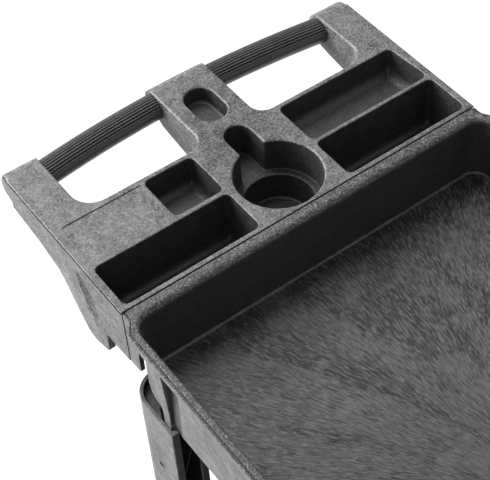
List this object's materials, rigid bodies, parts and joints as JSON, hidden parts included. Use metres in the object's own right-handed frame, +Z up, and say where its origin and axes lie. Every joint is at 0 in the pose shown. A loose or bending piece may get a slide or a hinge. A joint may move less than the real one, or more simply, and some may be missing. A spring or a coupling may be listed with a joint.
{
  "type": "utility cart",
  "caption": "Moulded plastic push cart with dished upper and lower trays on corner legs, a handle console with bins and a cup well, and swivel and rigid casters.",
  "frame": {"origin": "on the floor under the middle of the cart's length and width", "axes": "+Z up, +Y from the trays towards the handle, +X towards the side with the long rear bin"},
  "size_m": [0.452, 0.9699, 0.845],
  "materials": {
    "top_shelf": "charcoal structural-foam plastic, fine-grained with cloudy mottling",
    "bottom_shelf": "charcoal structural-foam plastic, fine-grained with cloudy mottling",
    "handle_console": "charcoal structural-foam plastic, fine-grained with cloudy mottling",
    "handle_core_bar": "plain drawn steel",
    "grip_left": "darker ribbed plastic sleeve",
    "grip_right": "darker ribbed plastic sleeve",
    "leg_front_left": "charcoal structural-foam plastic, fine-grained with cloudy mottling",
    "leg_front_right": "charcoal structural-foam plastic, fine-grained with cloudy mottling",
    "leg_rear_left": "charcoal structural-foam plastic, fine-grained with cloudy mottling",
    "leg_rear_right": "charcoal structural-foam plastic, fine-grained with cloudy mottling",
    "leg_screw_top_front_left": "zinc-plated screw",
    "leg_screw_top_front_right": "zinc-plated screw",
    "leg_screw_top_rear_left": "zinc-plated screw",
    "leg_screw_top_rear_right": "zinc-plated screw",
    "leg_screw_bottom_front_left": "zinc-plated screw",
    "leg_screw_bottom_front_right": "zinc-plated screw",
    "leg_screw_bottom_rear_left": "zinc-plated screw",
    "leg_screw_bottom_rear_right": "zinc-plated screw",
    "console_screw_1": "zinc-plated screw",
    "console_screw_2": "zinc-plated screw",
    "console_screw_3": "zinc-plated screw",
    "console_screw_4": "zinc-plated screw",
    "swivel_plate_rear_left": "zinc-plated pressed steel",
    "ball_race_rear_left": "bright steel ball cage",
    "kingpin_rear_left": "bright riveted pin",
    "swivel_plate_rear_right": "zinc-plated pressed steel",
    "ball_race_rear_right": "bright steel ball cage",
    "kingpin_rear_right": "bright riveted pin",
    "fork_front_left": "zinc-plated pressed steel",
    "axle_bolt_front_left": "zinc-plated bolt",
    "axle_nut_front_left": "zinc-plated lock nut",
    "axle_sleeve_front_left": "smooth moulded bush",
    "wheel_core_front_left": "moulded black wheel centre",
    "tyre_front_left": "solid grey-black rubber",
    "fork_front_right": "zinc-plated pressed steel",
    "axle_bolt_front_right": "zinc-plated bolt",
    "axle_nut_front_right": "zinc-plated lock nut",
    "axle_sleeve_front_right": "smooth moulded bush",
    "wheel_core_front_right": "moulded black wheel centre",
    "tyre_front_right": "solid grey-black rubber",
    "fork_rear_left": "zinc-plated pressed steel",
    "axle_bolt_rear_left": "zinc-plated bolt",
    "axle_nut_rear_left": "zinc-plated lock nut",
    "axle_sleeve_rear_left": "smooth moulded bush",
    "wheel_core_rear_left": "moulded black wheel centre",
    "tyre_rear_left": "solid grey-black rubber",
    "fork_rear_right": "zinc-plated pressed steel",
    "axle_bolt_rear_right": "zinc-plated bolt",
    "axle_nut_rear_right": "zinc-plated lock nut",
    "axle_sleeve_rear_right": "smooth moulded bush",
    "wheel_core_rear_right": "moulded black wheel centre",
    "tyre_rear_right": "solid grey-black rubber"
  },
  "bodies": {
    "cart": {"top_shelf": "top_shelf", "bottom_shelf": "bottom_shelf", "handle_console": "handle_console", "handle_core_bar": "handle_core_bar", "grip_left": "grip_left", "grip_right": "grip_right", "leg_front_left": "leg_front_left", "leg_front_right": "leg_front_right", "leg_rear_left": "leg_rear_left", "leg_rear_right": "leg_rear_right", "leg_screw_top_front_left": "leg_screw_top_front_left", "leg_screw_top_front_right": "leg_screw_top_front_right", "leg_screw_top_rear_left": "leg_screw_top_rear_left", "leg_screw_top_rear_right": "leg_screw_top_rear_right", "leg_screw_bottom_front_left": "leg_screw_bottom_front_left", "leg_screw_bottom_front_right": "leg_screw_bottom_front_right", "leg_screw_bottom_rear_left": "leg_screw_bottom_rear_left", "leg_screw_bottom_rear_right": "leg_screw_bottom_rear_right", "console_screw_1": "console_screw_1", "console_screw_2": "console_screw_2", "console_screw_3": "console_screw_3", "console_screw_4": "console_screw_4", "swivel_plate_rear_left": "swivel_plate_rear_left", "ball_race_rear_left": "ball_race_rear_left", "kingpin_rear_left": "kingpin_rear_left", "swivel_plate_rear_right": "swivel_plate_rear_right", "ball_race_rear_right": "ball_race_rear_right", "kingpin_rear_right": "kingpin_rear_right", "fork_front_left": "fork_front_left", "axle_bolt_front_left": "axle_bolt_front_left", "axle_nut_front_left": "axle_nut_front_left", "axle_sleeve_front_left": "axle_sleeve_front_left", "fork_front_right": "fork_front_right", "axle_bolt_front_right": "axle_bolt_front_right", "axle_nut_front_right": "axle_nut_front_right", "axle_sleeve_front_right": "axle_sleeve_front_right"},
    "swivel_rear_left": {"fork_rear_left": "fork_rear_left", "axle_bolt_rear_left": "axle_bolt_rear_left", "axle_nut_rear_left": "axle_nut_rear_left", "axle_sleeve_rear_left": "axle_sleeve_rear_left"},
    "swivel_rear_right": {"fork_rear_right": "fork_rear_right", "axle_bolt_rear_right": "axle_bolt_rear_right", "axle_nut_rear_right": "axle_nut_rear_right", "axle_sleeve_rear_right": "axle_sleeve_rear_right"},
    "wheel_front_left": {"wheel_core_front_left": "wheel_core_front_left", "tyre_front_left": "tyre_front_left"},
    "wheel_front_right": {"wheel_core_front_right": "wheel_core_front_right", "tyre_front_right": "tyre_front_right"},
    "wheel_rear_left": {"wheel_core_rear_left": "wheel_core_rear_left", "tyre_rear_left": "tyre_rear_left"},
    "wheel_rear_right": {"wheel_core_rear_right": "wheel_core_rear_right", "tyre_rear_right": "tyre_rear_right"}
  },
  "joints": [
    {"name": "swivel_spin_rear_left", "type": "hinge", "parent": "cart", "child": "swivel_rear_left", "pos_m": [-0.16, 0.167, 0.15], "axis": [0, 0, 1], "continuous": true},
    {"name": "swivel_spin_rear_right", "type": "hinge", "parent": "cart", "child": "swivel_rear_right", "pos_m": [0.16, 0.167, 0.15], "axis": [0, 0, 1], "continuous": true},
    {"name": "wheel_spin_front_left", "type": "hinge", "parent": "cart", "child": "wheel_front_left", "pos_m": [-0.16, -0.407, 0.0635], "axis": [1, 0, 0], "continuous": true},
    {"name": "wheel_spin_front_right", "type": "hinge", "parent": "cart", "child": "wheel_front_right", "pos_m": [0.16, -0.407, 0.0635], "axis": [1, 0, 0], "continuous": true},
    {"name": "wheel_spin_rear_left", "type": "hinge", "parent": "swivel_rear_left", "child": "wheel_rear_left", "pos_m": [-0.16, 0.135, 0.0635], "axis": [1, 0, 0], "continuous": true},
    {"name": "wheel_spin_rear_right", "type": "hinge", "parent": "swivel_rear_right", "child": "wheel_rear_right", "pos_m": [0.16, 0.135, 0.0635], "axis": [1, 0, 0], "continuous": true}
  ]
}
